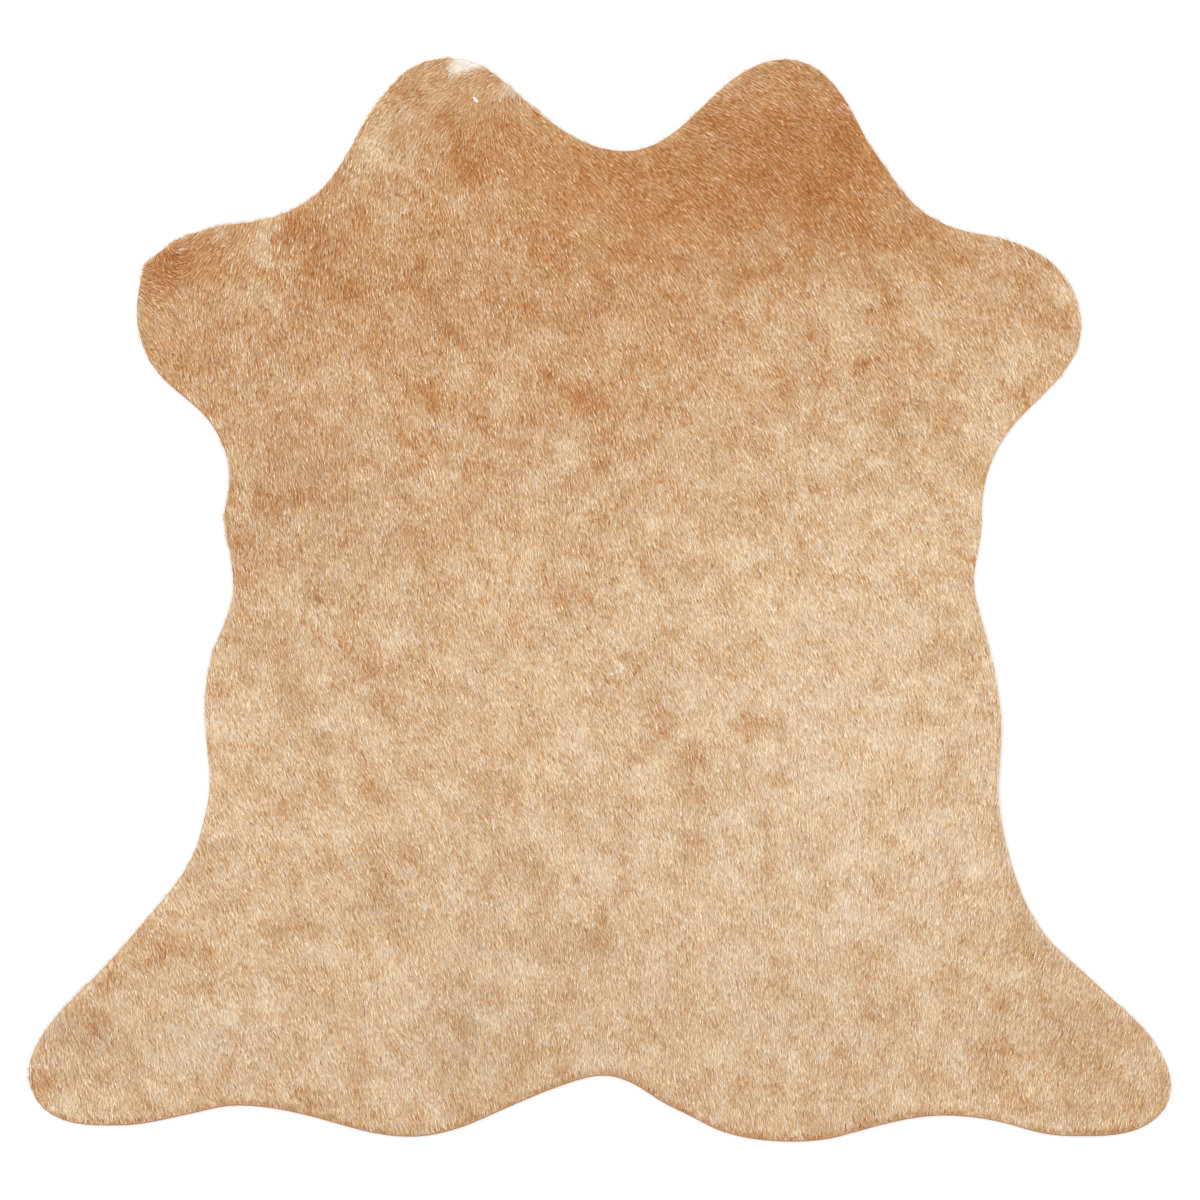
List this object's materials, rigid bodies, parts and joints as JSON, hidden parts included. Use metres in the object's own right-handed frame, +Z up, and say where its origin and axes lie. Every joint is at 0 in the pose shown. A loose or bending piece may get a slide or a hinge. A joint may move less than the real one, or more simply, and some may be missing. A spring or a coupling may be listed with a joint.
{
  "type": "cowhide rug",
  "caption": "Small flat hair-on cowhide rug in light tan, cut to the outline of a whole hide with neck, foreleg and hind leg lobes.",
  "frame": {"origin": "on the floor, under the middle of the rug's box", "axes": "+X towards the right legs, +Y towards the neck, +Z up out of the hair side"},
  "size_m": [0.9148, 0.8678, 0.0064],
  "materials": {
    "hair_on_hide": "short glossy tan hair lying down on tanned hide, suede flesh side below"
  },
  "bodies": {
    "root": {"cowhide": "hair_on_hide"}
  },
  "joints": []
}
